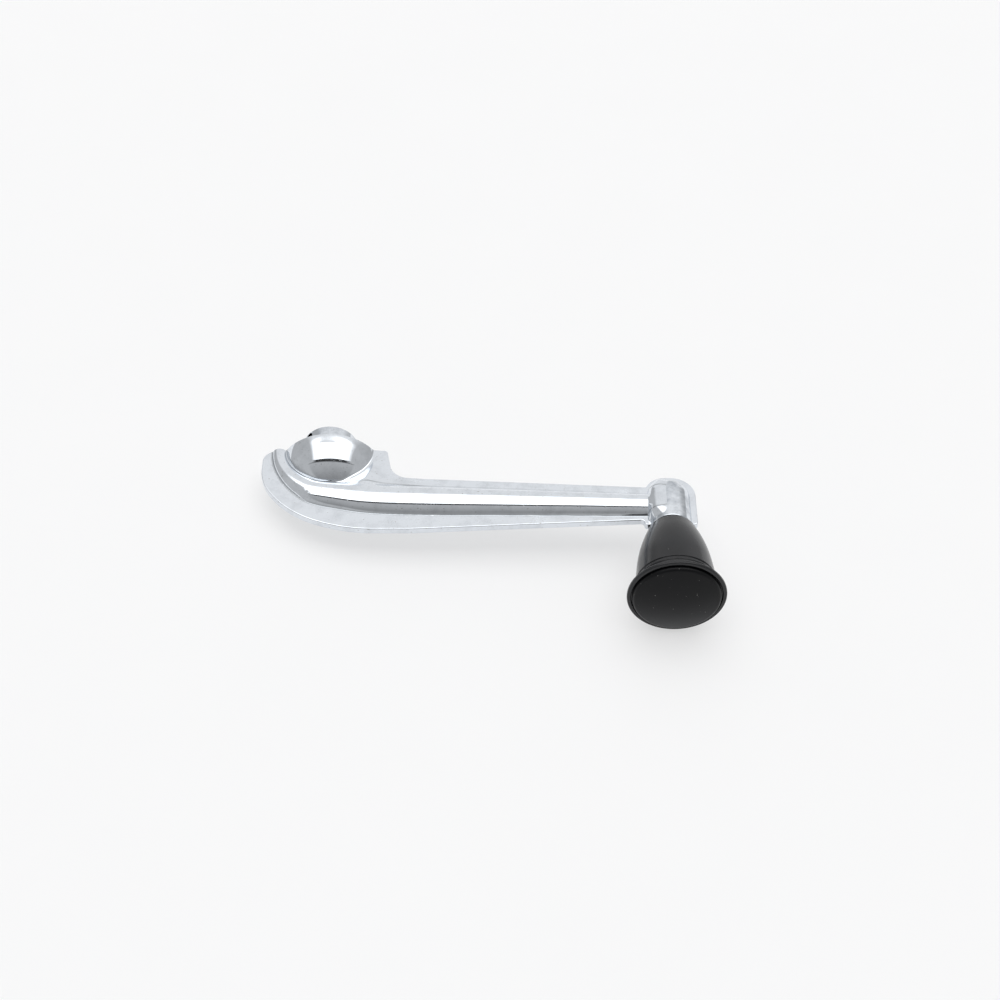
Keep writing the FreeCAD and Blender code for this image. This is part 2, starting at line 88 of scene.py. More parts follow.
# The casting's outline, anticlockwise from the hub's rear right corner: x, y and the corner's round.
OUTLINE = (
    (16.4, HUB_REAR, 1.1),
    (-HEEL_X, HUB_REAR, 4.0),
    (-HEEL_X, -15.7, 16.0),
    (-10.5, -28.0, 29.0),
    (6.1, -34.0, 42.0),
    (24.0, -34.0, 60.0),
    (KNOB_X - KNOB_END_HALF, -30.5, 1.0),
    (KNOB_X - KNOB_END_HALF, KNOB_END_FRONT, 0.9),
    (KNOB_X + KNOB_END_HALF, KNOB_END_FRONT, 1.2),
    (KNOB_X + KNOB_END_HALF, -14.0, 7.0),
    (KNOB_X - 4.45, -14.0, 6.0),
    (KNOB_X - 6.4, -17.75, 0.6),
    (18.3, -13.9, 5.5),
)
# The rib's middle line round the dome: the angle from straight ahead, the distance from the hub's middle,
# half the rib's width and half its thickness.
HUB_STATIONS = (
    (104.0, 14.5, 2.1, 1.95),
    (90.0, 14.4, 2.3, 2.1),
    (74.0, 14.45, 2.5, 2.3),
    (58.0, 14.65, 2.8, 2.6),
    (42.0, 15.1, 3.3, 3.0),
    (26.0, 15.9, 3.9, 3.4),
    (10.0, 17.0, 4.7, 3.8),
)
# The same line along the arm: x, y, half the rib's width and half its thickness.
ARM_STATIONS = (
    (4.0, -21.3, 5.4, 4.0),
    (13.0, -22.6, 5.8, 4.15),
    (27.4, -23.2, 5.9, 4.15),
    (50.0, -23.8, 5.4, 3.95),
    (72.0, -24.45, 4.85, 3.8),
    (93.0, -25.1, 4.35, 3.6),
)


# ---- outlines and profiles
LEAST_ROUND = 0.04


def rounded(corners, closed, side, chord=0.35, turn=math.radians(7.5)):
    """Points and normals along straight sides with rounded corners; side is 1 for normals on the left."""
    points, normals = [], []
    places = [np.array(corner[:2], float) for corner in corners]
    count = len(places)
    ends = []
    for i, corner in enumerate(corners):
        radius = corner[2] if len(corner) > 2 else 0.0
        inner = closed or 0 < i < count - 1
        if not inner:
            ends.append((places[i], places[i], None))
            continue
        back = places[i - 1] - places[i]
        ahead = places[(i + 1) % count] - places[i]
        back /= np.linalg.norm(back)
        ahead /= np.linalg.norm(ahead)
        half = math.acos(float(np.clip(back @ ahead, -1, 1))) / 2
        radius = max(radius, LEAST_ROUND)
        reach = radius / math.tan(half)
        middle = back + ahead
        centre = places[i] + middle / np.linalg.norm(middle) * radius / math.sin(half)
        left_turn = back[0] * ahead[1] - back[1] * ahead[0] < 0
        ends.append((places[i] + back * reach, places[i] + ahead * reach, (centre, radius, left_turn)))
    for i in range(count):
        entry, leave, arc = ends[i]
        if arc is not None:
            centre, radius, left_turn = arc
            first = math.atan2(*(entry - centre)[::-1])
            last = math.atan2(*(leave - centre)[::-1])
            sweep = (last - first) % (2 * math.pi) if left_turn else -((first - last) % (2 * math.pi))
            steps = max(2, math.ceil(abs(sweep) / turn), math.ceil(abs(sweep) * radius / chord))
            for k in range(steps + 1):
                angle = first + sweep * k / steps
                outward = np.array((math.cos(angle), math.sin(angle)))
                points.append(centre + outward * radius)
                normals.append(outward * (-side if left_turn else side))
        if i == count - 1 and not closed:
            start = ends[i - 1][1]
            along = entry - start
            along /= np.linalg.norm(along)
            points.append(entry)
            normals.append(side * np.array((-along[1], along[0])))
            break
        following = ends[(i + 1) % count][0]
        along = following - leave
        length = np.linalg.norm(along)
        along = along / max(length, 1e-9)
        across = side * np.array((-along[1], along[0]))
        steps = max(1, math.ceil(length / chord))
        for k in range(0 if arc is None else 1, steps):
            points.append(leave + (following - leave) * k / steps)
            normals.append(across)
    return np.array(points), np.array(normals)


def link_piece(name, mesh, coat, body, nodes=()):
    """Makes the mesh an object that rides on a body and, where nodes are named, stands for them."""
    piece = bpy.data.objects.new(name, mesh)
    bpy.context.scene.collection.objects.link(piece)
    mesh.materials.append(coat)
    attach(piece, body)
    if nodes:
        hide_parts(*nodes)


def mesh_from(name, points, faces, normals):
    """A smooth mesh in metres with its own vertex normals."""
    mesh = bpy.data.meshes.new(name)
    mesh.from_pydata((np.asarray(points) * MM).tolist(), [], faces)
    mesh.polygons.foreach_set("use_smooth", [True] * len(mesh.polygons))
    mesh.normals_split_custom_set_from_vertices(np.asarray(normals).tolist())
    mesh.update()
    return mesh


def turned(name, profile, normals, axis_x, closed=False, count=144):
    """A mesh turned about the line x = axis_x, z = 0; the profile holds (distance from the axis, y)."""
    angles = np.linspace(0, 2 * math.pi, count, endpoint=False)
    cosine, sine = np.cos(angles), np.sin(angles)
    points, vertex_normals, rings = [], [], []
    for (radius, along), (out, forward) in zip(profile, normals):
        if radius < 1e-6:
            rings.append([len(points)] * count)
            points.append((axis_x, along, 0.0))
            vertex_normals.append((0.0, math.copysign(1.0, forward), 0.0))
            continue
        rings.append(list(range(len(points), len(points) + count)))
        points.extend(zip(axis_x + radius * cosine, [along] * count, radius * sine))
        vertex_normals.extend(zip(out * cosine, [forward] * count, out * sine))
    faces = []
    pairs = list(zip(rings, rings[1:]))
    if closed:
        pairs.append((rings[-1], rings[0]))
    for lower, upper in pairs:
        for i in range(count):
            j = (i + 1) % count
            face = [lower[i], lower[j], upper[j], upper[i]]
            faces.append([v for k, v in enumerate(face) if v != face[k - 1]])
    return mesh_from(name, points, faces, vertex_normals)


# ---- the casting's height over its middle plane
LINE_STEPS = 40


def middle_line():
    """The rib's middle line as dense points with half width and half thickness, through all the stations."""
    stations = []
    for angle, reach, half, high in HUB_STATIONS:
        swing = math.radians(angle)
        stations.append((-reach * math.sin(swing), HUB_REAR - reach * math.cos(swing), half, high))
    stations = np.array(stations + list(ARM_STATIONS))
    padded = np.vstack((2 * stations[0] - stations[1], stations, 2 * stations[-1] - stations[-2]))
    line = []
    for i in range(1, len(padded) - 2):
        before, here, there, after = padded[i - 1:i + 3]
        for share in np.linspace(0, 1, LINE_STEPS, endpoint=False):
            line.append(0.5 * (2 * here + (there - before) * share
                               + (2 * before - 5 * here + 4 * there - after) * share ** 2
                               + (3 * here - before - 3 * there + after) * share ** 3))
    line.append(padded[-2])
    return np.array(line)


# Points are measured against a line this many at a time, to keep the arrays small.
BATCH = 4000


def nearest_on(points, line):
    """Distance from each point to a polyline and the line's values at the nearest place."""
    start, step = line[:-1], np.diff(line, axis=0)
    length2 = np.maximum((step[:, :2] ** 2).sum(axis=1), 1e-12)
    distance = np.empty(len(points))
    values = np.empty((len(points), line.shape[1]))
    for low in range(0, len(points), BATCH):
        part = points[low:low + BATCH]
        gap = part[:, None, :] - start[None, :, :2]
        share = np.clip((gap * step[None, :, :2]).sum(axis=2) / length2, 0, 1)
        away = gap - share[..., None] * step[None, :, :2]
        square = (away ** 2).sum(axis=2)
        best = square.argmin(axis=1)
        rows = np.arange(len(part))
        distance[low:low + BATCH] = np.sqrt(square[rows, best])
        values[low:low + BATCH] = start[best] + step[best] * share[rows, best, None]
    return distance, values


def smooth_step(low, high, value):
    """Nought below the low value, one above the high one, and a smooth climb between."""
    share = np.clip((value - low) / (high - low), 0, 1)
    return share * share * (3 - 2 * share)


def blend_max(first, second, width):
    """The higher of two heights, with a small fillet where they cross."""
    share = np.clip(0.5 + 0.5 * (first - second) / width, 0, 1)
    return second * (1 - share) + first * share + width * share * (1 - share)


RIB_LINE = middle_line()
outline_points, outline_normals = rounded(OUTLINE, True, -1)
# widths of the fillets where one part of the casting meets the next
RIB_CREASE = 0.06
DOME_CREASE = 0.5
BAR_CREASE = 0.25
BOSS_CREASE = 1.5
GUSSET_CREASE = 0.8
GUSSET_SOFT = 0.5


def web_and_rib(points):
    """The flat web, with the rib standing on it: a round-topped bar that follows its middle line."""
    web = np.full(len(points), WEB_HALF)
    away, station = nearest_on(points, RIB_LINE)
    half, high = station[:, 2], station[:, 3]
    bend = (half ** 2 + high ** 2) / (2 * high)
    rib = high - bend + np.sqrt(np.maximum(bend ** 2 - away ** 2, 0))
    return blend_max(rib, web, RIB_CREASE)


# The gusset is flat in a band along the shoulder and the arm's rear edge, and climbs inwards from it. Beside
# the dome it is held down to a step, which grows with the distance from the dome's rim.
SHOULDER = np.vstack(([15.9, 2.0], [16.4, HUB_REAR], [18.0, -13.0], [22.8, -14.15], [KNOB_X, -18.1]))
GUSSET_BAND = 1.6
GUSSET_CLIMB = 6.0
GUSSET_SLOPE = 0.34
GUSSET_SUNK = 0.5
DOME_RIM = 13.33
RIM_STEP = 0.35
RIM_SLOPE = 0.45
RIM_BAND = 9.0
# where the gusset fades in and out: beside the dome's middle, along the arm, and over the rib
GUSSET_LEFT = (2.0, 7.0)
GUSSET_RIGHT = (19.0, 36.0)
GUSSET_FRONT = (-24.5, -22.0)


def gusset(points, reach):
    """The low slope between dome, rib and shoulder, and how much of it there is at each point."""
    x, y = points[:, 0], points[:, 1]
    inset, _ = nearest_on(points, SHOULDER)
    climb = GUSSET_SLOPE * np.clip(inset - GUSSET_BAND, 0, GUSSET_CLIMB)
    beside_dome = RIM_STEP + RIM_SLOPE * np.clip(reach - DOME_RIM, 0, RIM_BAND)
    share = (1 - smooth_step(*GUSSET_RIGHT, x)) * smooth_step(*GUSSET_LEFT, x) * smooth_step(*GUSSET_FRONT, y)
    lift = -blend_max(-climb, -beside_dome, GUSSET_SOFT)
    return WEB_HALF - GUSSET_SUNK + GUSSET_SUNK * share + lift * share, share


# The spindle's boss runs on into the hub's rear, and sinks into the dome past this y.
HUB_BAR_FRONT = -6.6
HUB_BAR_REACH = 9.0
HUB_BAR_FALL = 0.45


def hub_bar(points):
    """The boss's round back, seen as a short bar on the hub's rear edge."""
    past = np.clip(HUB_BAR_FRONT - points[:, 1], 0, HUB_BAR_REACH)
    return np.sqrt(np.maximum(BOSS_RADIUS ** 2 - points[:, 0] ** 2, 0)) - HUB_BAR_FALL * past ** 1.5


# The knob's boss is round, but squarer on its left side, where the rib runs into it.
SQUARE_REACH = 6.4
SQUARE_FROM = 3.5
SQUARE_TAPER = 3.0
BOSS_SUNK = 0.04


def knob_boss_height(points):
    """The round-ended boss across the arm's end, just under the turned piece that covers it."""
    side, y = points[:, 0] - KNOB_X, points[:, 1]
    away = np.where(y > KNOB_BOSS_REAR, np.hypot(side, y - KNOB_BOSS_REAR), np.abs(side))
    top = KNOB_BOSS_RADIUS - BOSS_SUNK
    plain = np.sqrt(np.maximum(top ** 2 - away ** 2, 0))
    square = top * np.maximum(1 - (away / SQUARE_REACH) ** 3, 0) ** (1 / 3)
    leftward = smooth_step(0.0, SQUARE_FROM, -side)
    leftward = leftward * smooth_step(KNOB_END_FRONT, KNOB_END_FRONT + SQUARE_TAPER, y)
    return plain * (1 - leftward) + square * leftward


# The boss meets the flat web sharply and the rib softly: the fillet widens between these heights.
SHARP_BELOW = 1.2
SOFT_ABOVE = 3.0


def heights(points):
    """The casting's surface height above its middle plane."""
    reach = np.hypot(points[:, 0], points[:, 1] - HUB_REAR)
    surface = web_and_rib(points)
    slope, share = gusset(points, reach)
    surface = blend_max(slope, surface, RIB_CREASE + GUSSET_CREASE * share)
    dome = DOME_HIGH - DOME_SPHERE + np.sqrt(np.maximum(DOME_SPHERE ** 2 - reach ** 2, 0))
    surface = blend_max(dome, surface, DOME_CREASE)
    surface = blend_max(hub_bar(points), surface, BAR_CREASE)
    fillet = RIB_CREASE + BOSS_CREASE * smooth_step(SHARP_BELOW, SOFT_ABOVE, surface)
    return blend_max(knob_boss_height(points), surface, fillet)


# Painted shade in the crease along the rib's foot: how far past the foot it is darkest, and how far it
# spreads.
CREASE_SHADE_PLACE = 0.1
CREASE_SHADE_REACH = 0.22


def crease_shade(points):
    """How much painted shade lies in the crease beside the rib: one at its foot, next to nothing half a
    millimetre away.
    """
    away, station = nearest_on(points, RIB_LINE)
    half, high = station[:, 2], station[:, 3]
    bend = (half ** 2 + high ** 2) / (2 * high)
    foot = np.sqrt(bend ** 2 - (bend - high + WEB_HALF) ** 2)
    return np.exp(-((away - foot - CREASE_SHADE_PLACE) / CREASE_SHADE_REACH) ** 2)


# Places nearer than NEAR count as one when a flat plan is cut into triangles. A triangle lies inside a hole
# when no corner of it is further than HOLE_CLEAR past the hole's edge.
NEAR = 1e-6
HOLE_CLEAR = 0.05
SOCKET_COUNT = 96


def slopes(points, step=0.02):
    """The height's gradient, by central differences."""
    across = (heights(points + [step, 0]) - heights(points - [step, 0])) / (2 * step)
    along = (heights(points + [0, step]) - heights(points - [0, step])) / (2 * step)
    return np.column_stack((across, along))


def inside_outline(points, loop):
    """True for the points inside a closed loop."""
    inside = np.zeros(len(points), bool)
    following = np.roll(loop, -1, axis=0)
    for (ax, ay), (bx, by) in zip(loop, following):
        if ay == by:
            continue
        crosses = (points[:, 1] > ay) != (points[:, 1] > by)
        inside ^= crosses & (points[:, 0] < (bx - ax) * (points[:, 1] - ay) / (by - ay) + ax)
    return inside


# The lattice's pitch, how many steps the flat parts skip and the clearance to the outline. Then how far the
# surface bends over one step where the lattice is kept whole, and where it is made denser.
PITCH = 0.16
SKIP = 3
EDGE_CLEAR = 0.12
BENT = 0.011
SHARP = 0.03


def lattice(loop):
    """Inner points: a triangular lattice, kept fine where the surface bends and thinned where it is flat."""
    low, high = loop.min(axis=0), loop.max(axis=0)
    rows = np.arange(int((high[1] - low[1]) / (PITCH * math.sqrt(0.75))))
    columns = np.arange(int((high[0] - low[0]) / PITCH))
    row, column = np.meshgrid(rows, columns, indexing="ij")
    points = np.column_stack((
        (low[0] + (column + 0.5 * (row % 2)) * PITCH).ravel(),
        (low[1] + row * PITCH * math.sqrt(0.75)).ravel(),
    ))
    kept = inside_outline(points, loop)
    sparse = (((row % SKIP) == 0) & ((column + row // 2) % SKIP == 0)).ravel()
    points, sparse = points[kept], sparse[kept]
    here = heights(points)
    bend = sum(np.abs(heights(points + step) + heights(points - step) - 2 * here)
               for step in (np.array((PITCH, 0)), np.array((0, PITCH))))
    sharp = points[bend > SHARP]
    between = [sharp + PITCH / 2 * np.array((math.cos(turn), math.sin(turn)))
               for turn in (0, math.pi / 3, 2 * math.pi / 3)]
    points = np.vstack([points[sparse | (bend > BENT)]] + between)
    points = points[inside_outline(points, loop)]
    clear, _ = nearest_on(points, np.vstack((loop, loop[:1])))
    return points[clear > EDGE_CLEAR]


# Angles round the web's rounded edge, from its side to its face.
EDGE_SWINGS = np.radians((0, 12, 26, 41, 57, 73, 90))


def upper_face(loop, inner):
    """Points, normals and faces of the casting's upper half: the rounded edge, then the face inside it."""
    count = len(outline_points)
    points, normals = [], []
    for swing in EDGE_SWINGS:
        ring = outline_points - outline_normals * WEB_EDGE * (1 - math.cos(swing))
        height = heights(ring) - WEB_EDGE * (1 - math.sin(swing))
        slope = slopes(ring)
        tilt = np.column_stack((outline_normals * math.cos(swing) - slope * math.sin(swing),
                                np.full(count, math.sin(swing))))
        points.append(np.column_stack((ring, height)))
        normals.append(tilt)
    slope = slopes(inner)
    points.append(np.column_stack((inner, heights(inner))))
    normals.append(np.column_stack((-slope, np.ones(len(inner)))))
    points, normals = np.vstack(points), np.vstack(normals)
    normals /= np.linalg.norm(normals, axis=1)[:, None]

    faces = []
    for ring in range(len(EDGE_SWINGS) - 1):
        base = ring * count
        for i in range(count):
            j = (i + 1) % count
            faces.append((base + i, base + j, base + count + j, base + count + i))
    flat = [Vector(place) for place in np.vstack((loop, inner))]
    border = [(i, (i + 1) % count) for i in range(count)]
    _, _, triangles, origin, _, _ = delaunay_2d_cdt(flat, border, [], 1, NEAR)
    offset = (len(EDGE_SWINGS) - 1) * count
    names = [offset + source[0] if source else None for source in origin]
    for triangle in triangles:
        face = [names[vertex] for vertex in triangle]
        if None not in face:
            faces.append(tuple(face))
    return points, normals, faces


def rear_face(edge_x, edge_z):
    """The flat strip between the two faces' rear edges, less the socket: its points and its faces."""
    upper = list(zip(edge_x, edge_z))
    lower = [(place, -height) for place, height in reversed(upper)]
    rim = [(SLEEVE_HIGH[0] * math.cos(swing), SLEEVE_HIGH[0] * math.sin(swing))
           for swing in np.linspace(0, 2 * math.pi, SOCKET_COUNT, endpoint=False)]
    plan = [Vector(place) for place in upper + lower + rim]
    outer = len(upper) + len(lower)
    border = [(i, (i + 1) % outer) for i in range(outer)]
    border += [(outer + i, outer + (i + 1) % len(rim)) for i in range(len(rim))]
    found, _, triangles, _, _, _ = delaunay_2d_cdt(plan, border, [], 1, NEAR)
    wall = np.array([(place.x, HUB_REAR, place.y) for place in found])
    faces = []
    for triangle in triangles:
        if max(math.hypot(*wall[vertex, ::2]) for vertex in triangle) > SLEEVE_HIGH[0] + HOLE_CLEAR:
            faces.append(tuple(reversed(triangle)))
    return wall, faces


def casting_shell(coat):
    """The casting without its bosses: both faces, the rounded edge, and the rear face with its hole."""
    count = len(outline_points)
    loop = outline_points - outline_normals * WEB_EDGE
    points, normals, faces = upper_face(loop, lattice(loop))
    total = len(points)
    under = points * [1, 1, -1]
    all_points = np.vstack((points, under))
    all_normals = np.vstack((normals, normals * [1, 1, -1]))
    all_faces = list(faces) + [tuple(total + vertex for vertex in reversed(face)) for face in faces]
    rear = np.isclose(outline_points[:, 1], HUB_REAR)
    for i in range(count):
        j = (i + 1) % count
        if rear[i] and rear[j]:
            continue
        all_faces.append((i, total + i, total + j, j))

    edge = sorted(np.flatnonzero(rear), key=lambda i: outline_points[i, 0])
    wall, wall_faces = rear_face(points[edge, 0], points[edge, 2])
    base = len(all_points)
    all_points = np.vstack((all_points, wall))
    all_normals = np.vstack((all_normals, np.tile((0.0, 1.0, 0.0), (len(wall), 1))))
    all_faces += [tuple(base + vertex for vertex in face) for face in wall_faces]
    mesh = mesh_from("casting_arm", all_points, all_faces, all_normals)
    # The rib's foot gets its painted shade as a point attribute on both faces; the rear face gets none.
    crease_dark = crease_shade(points[:, :2])
    layer = mesh.attributes.new("crease_shade", "FLOAT", "POINT")
    layer.data.foreach_set("value", np.concatenate((crease_dark, crease_dark, np.zeros(len(wall)))))
    link_piece("casting_arm", mesh, coat, "arm", ["crank_arm"])


# The boss is two pieces, a turned end with the sleeve's bore and a drilled wall, which meet at this y.
BOSS_JOIN = -0.45


def spindle_boss(coat):
    """The rear end of the round boss behind the hub, and the bore that holds the sleeve."""
    floor = SLEEVE_LOW[1]
    bore = SLEEVE_HIGH[0]
    profile, normals = rounded((
        (0.0, floor),
        (bore, floor, 0.1),
        (bore, 0.0, 0.12),
        (BOSS_RADIUS, 0.0, 0.4),
        (BOSS_RADIUS, BOSS_JOIN),
    ), False, 1, chord=1.2)
    mesh = turned("casting_spindle_boss", profile, normals, 0.0)
    link_piece("casting_spindle_boss", mesh, coat, "arm")


# The wall goes this far into the hub. The hole's edge is rounded: each ring of the hole has its radius, its
# depth under the boss's surface, and how much of its normal points outwards.
WALL_SUNK = 0.5
HOLE_ROUND = 0.12
HOLE_RINGS = (
    (GRUB_RADIUS + HOLE_ROUND, 0.0, 0.8),
    (GRUB_RADIUS, HOLE_ROUND, 0.4),
    (GRUB_RADIUS, 0.2, 0.0),
    (GRUB_RADIUS, 2.1, 0.0),
)
HOLE_COUNT = 48
HOLE_MARGIN = 0.1


def spindle_boss_wall(coat):
    """The boss's outer wall, laid out flat round the grub screw's hole and rolled up, and the hole's wall."""
    around = 2 * math.pi * BOSS_RADIUS
    rear, front = BOSS_JOIN, HUB_REAR - WALL_SUNK
    columns, rows = 160, 9
    border = [(around * k / columns, front) for k in range(columns + 1)]
    border += [(around, front + (rear - front) * k / rows) for k in range(1, rows + 1)]
    border += [(around * k / columns, rear) for k in range(columns - 1, -1, -1)]
    border += [(0.0, front + (rear - front) * k / rows) for k in range(rows - 1, 0, -1)]
    inner = [(around * k / columns, front + (rear - front) * row / rows)
             for k in range(1, columns) for row in range(1, rows)]
    swings = np.linspace(0, 2 * math.pi, HOLE_COUNT, endpoint=False)
    edge = GRUB_RADIUS + HOLE_ROUND
    across = BOSS_RADIUS * np.arcsin(edge * np.cos(swings) / BOSS_RADIUS)
    rim = np.column_stack((around / 2 + across, GRUB_Y + edge * np.sin(swings)))
    inner = [place for place in inner
             if math.hypot(place[0] - around / 2, place[1] - GRUB_Y) > edge + HOLE_MARGIN]
    plan = [Vector(place) for place in border + rim.tolist() + inner]
    fences = [(k, (k + 1) % len(border)) for k in range(len(border))]
    fences += [(len(border) + k, len(border) + (k + 1) % HOLE_COUNT) for k in range(HOLE_COUNT)]
    found, _, triangles, _, _, _ = delaunay_2d_cdt(plan, fences, [], 1, NEAR)

    points = []
    for place in found:
        angle = GRUB_TURN + (place[0] - around / 2) / BOSS_RADIUS
        points.append((BOSS_RADIUS * math.cos(angle), place[1], BOSS_RADIUS * math.sin(angle)))
    normals = [(point[0], 0.0, point[2]) for point in points]
    faces = []
    centre = Vector((around / 2, GRUB_Y))
    for triangle in triangles:
        if max((found[vertex] - centre).length for vertex in triangle) > edge + HOLE_CLEAR:
            faces.append(tuple(reversed(triangle)))
    out = Vector((math.cos(GRUB_TURN), 0, math.sin(GRUB_TURN)))
    side = Vector((-math.sin(GRUB_TURN), 0, math.cos(GRUB_TURN)))
    base = len(points)
    for radius, sunk, lean in HOLE_RINGS:
        for swing in swings:
            away = side * math.cos(swing) + Vector((0, 1, 0)) * math.sin(swing)
            reach = math.sqrt(BOSS_RADIUS ** 2 - (radius * math.cos(swing)) ** 2) - sunk
            points.append(tuple(out * reach + away * radius + Vector((0, GRUB_Y, 0))))
            normals.append(tuple(out * lean - away * (1 - lean)))
    for ring in range(len(HOLE_RINGS) - 1):
        low = base + ring * HOLE_COUNT
        high = low + HOLE_COUNT
        for k in range(HOLE_COUNT):
            following = (k + 1) % HOLE_COUNT
            faces.append((low + k, low + following, high + following, high + k))
    normals = [Vector(normal).normalized() for normal in normals]
    mesh = mesh_from("casting_boss_wall", points, faces, normals)
    link_piece("casting_boss_wall", mesh, coat, "arm")


BOLT_HOLE = 2.6


def knob_boss(coat):
    """The round-ended boss that stands across the arm's end and carries the knob."""
    profile, normals = rounded((
        (0.0, KNOB_BOSS_REAR + KNOB_BOSS_RADIUS),
        (KNOB_BOSS_RADIUS, KNOB_BOSS_REAR + KNOB_BOSS_RADIUS, KNOB_BOSS_RADIUS - 0.001),
        (KNOB_BOSS_RADIUS, KNOB_BOSS_FRONT, 0.35),
        (BOLT_HOLE, KNOB_BOSS_FRONT),
    ), False, 1, chord=0.8, turn=math.radians(3))
    mesh = turned("casting_knob_boss", profile, normals, KNOB_X)
    link_piece("casting_knob_boss", mesh, coat, "arm")


# The knob's outside from its neck to the flare: radius, depth from the neck's face, and the corner's round.
KNOB_SIDE = (
    (6.4, 0.0, 1.0),
    (9.7, 8.5, 45.0),
    (10.95, 19.2, 0.15),
    (10.72, 19.35, 0.12),
    (10.78, 19.75, 0.12),
    (11.05, 19.95, 0.2),
    (11.1, 20.55, 0.2),
    (10.9, 20.75, 0.3),
    (11.0, 23.3, 1.9),
)
RIM_DEPTH = 23.3
POCKET_RADIUS = 12.3
CAP_SEAT = 23.8
CAVITY_RADIUS = 8.0
CAVITY_FLOOR = 17.2


def knob(coat):
    """The tapered knob: rounded neck, long convex side, fine bead, hollow flare and thin rim."""
    neck, rim = KNOB_HIGH[1], KNOB_LOW[1]
    rim_radius = KNOB_HIGH[2]
    side = [(radius, neck - depth, corner) for radius, depth, corner in KNOB_SIDE]
    profile, normals = rounded((
        (BUSH_RADIUS, neck),
        *side,
        (rim_radius, neck - RIM_DEPTH, 0.35),
        (rim_radius, rim, 0.4),
        (POCKET_RADIUS, rim, 0.3),
        (POCKET_RADIUS, neck - CAP_SEAT, 0.1),
        (CAVITY_RADIUS, neck - CAP_SEAT, 0.2),
        (CAVITY_RADIUS, neck - CAVITY_FLOOR, 0.3),
        (BUSH_RADIUS, neck - CAVITY_FLOOR),
    ), True, 1, chord=0.9, turn=math.radians(6))
    mesh = turned("knob_shell", profile, normals, KNOB_X, closed=True, count=192)
    link_piece("knob_shell", mesh, coat, "knob", ["knob_body"])


CAP_RADIUS = 12.0
CAP_CROWN = 1.4
PLUG_RADIUS = 7.9


def cap(coat):
    """The knob's end disc: a crowned face with a soft edge, and the plug behind it."""
    seat = KNOB_HIGH[1] - CAP_SEAT
    rear = CAP_HIGH[1]
    face = CAP_LOW[1] + CAP_CROWN
    profile, normals = rounded((
        (0.0, rear),
        (PLUG_RADIUS, rear, 0.2),
        (PLUG_RADIUS, seat, 0.1),
        (CAP_RADIUS, seat, 0.1),
        (CAP_RADIUS, face, 0.8),
        (0.0, face),
    ), False, 1, chord=0.6, turn=math.radians(8))
    front = profile[:, 1] < seat - 0.05
    bulge = CAP_CROWN * (1 - (profile[:, 0] / CAP_RADIUS) ** 2)
    tilt = 2 * CAP_CROWN * profile[:, 0] / CAP_RADIUS ** 2
    profile[front, 1] -= bulge[front]
    normals[front, 0] -= normals[front, 1] * tilt[front]
    normals /= np.linalg.norm(normals, axis=1)[:, None]
    mesh = turned("knob_disc", profile, normals, KNOB_X, count=192)
    link_piece("knob_disc", mesh, coat, "knob", ["knob_cap"])


# ---- materials
CHROME = (0.755, 0.79, 0.835)
CHROME_STAINED = (0.755, 0.785, 0.825)
CHROME_PITTED = (0.42, 0.42, 0.41)
# the darker chrome of the painted shade in the crease along the rib's foot
CHROME_CREASE_SHADE = (0.40, 0.42, 0.44)
DUST = (0.30, 0.30, 0.29)
# Painted light on the knob's disc: its grey, how far it reaches up and down in millimetres, and how sharply
# it gathers at the bottom.
SHEEN_GREY = (0.075, 0.076, 0.08)
SHEEN_REACH = 11.0
SHEEN_POWER = 4.0
STEEL = (0.56, 0.55, 0.53)
BLACKENED = (0.10, 0.10, 0.10)
BRASS = (0.72, 0.53, 0.26)
KNOB_BLACK = (0.009, 0.0095, 0.011)
CAP_BLACK = (0.0022, 0.0024, 0.003)
TABLE_WHITE = (0.355, 0.356, 0.36)
TABLE_PALE = (0.366, 0.367, 0.37)
TABLE_GLOW = 0.555


def new_material(name):
    """A material with its node tree, its surface shader and a node maker."""
    coat = bpy.data.materials.new(name)
    coat.use_nodes = True
    tree = coat.node_tree
    shader = tree.nodes["Principled BSDF"]

    def add(kind, **settings):
        node = tree.nodes.new(kind)
        for key, setting in settings.items():
            if key in node.inputs:
                node.inputs[key].default_value = setting
            else:
                setattr(node, key, setting)
        return node

    return coat, tree, shader, add


def noise(tree, add, scale, detail=3.0, roughness=0.5, stretch=(1, 1, 1)):
    """A noise texture in the part's own metres."""
    place = add("ShaderNodeTexCoord")
    fit = add("ShaderNodeMapping")
    fit.inputs["Scale"].default_value = stretch
    texture = add("ShaderNodeTexNoise")
    texture.inputs["Scale"].default_value = scale
    texture.inputs["Detail"].default_value = detail
    texture.inputs["Roughness"].default_value = roughness
    tree.links.new(place.outputs["Object"], fit.inputs["Vector"])
    tree.links.new(fit.outputs["Vector"], texture.inputs["Vector"])
    return texture.outputs["Fac"]


def remap(tree, add, value, low, high, to_low, to_high):
    """A value stretched from one range to another, clamped at both ends."""
    node = add("ShaderNodeMapRange")
    tree.links.new(value, node.inputs["Value"])
    for socket, setting in (("From Min", low), ("From Max", high), ("To Min", to_low), ("To Max", to_high)):
        node.inputs[socket].default_value = setting
    return node.outputs["Result"]


def mix_colour(tree, add, share, first, second):
    """Two colours mixed by a value; each colour is a tuple or a socket."""
    node = add("ShaderNodeMix", data_type="RGBA")
    tree.links.new(share, node.inputs["Factor"])
    for socket, colour in ((node.inputs[6], first), (node.inputs[7], second)):
        if isinstance(colour, tuple):
            socket.default_value = colour + (1.0,)
        else:
            tree.links.new(colour, socket)
    return node.outputs[2]


def bump(tree, add, height, strength, distance, under=None):
    """A bump over another bump's normal, if there is one."""
    node = add("ShaderNodeBump")
    node.inputs["Strength"].default_value = strength
    node.inputs["Distance"].default_value = distance
    tree.links.new(height, node.inputs["Height"])
    if under is not None:
        tree.links.new(under, node.inputs["Normal"])
    return node.outputs["Normal"]


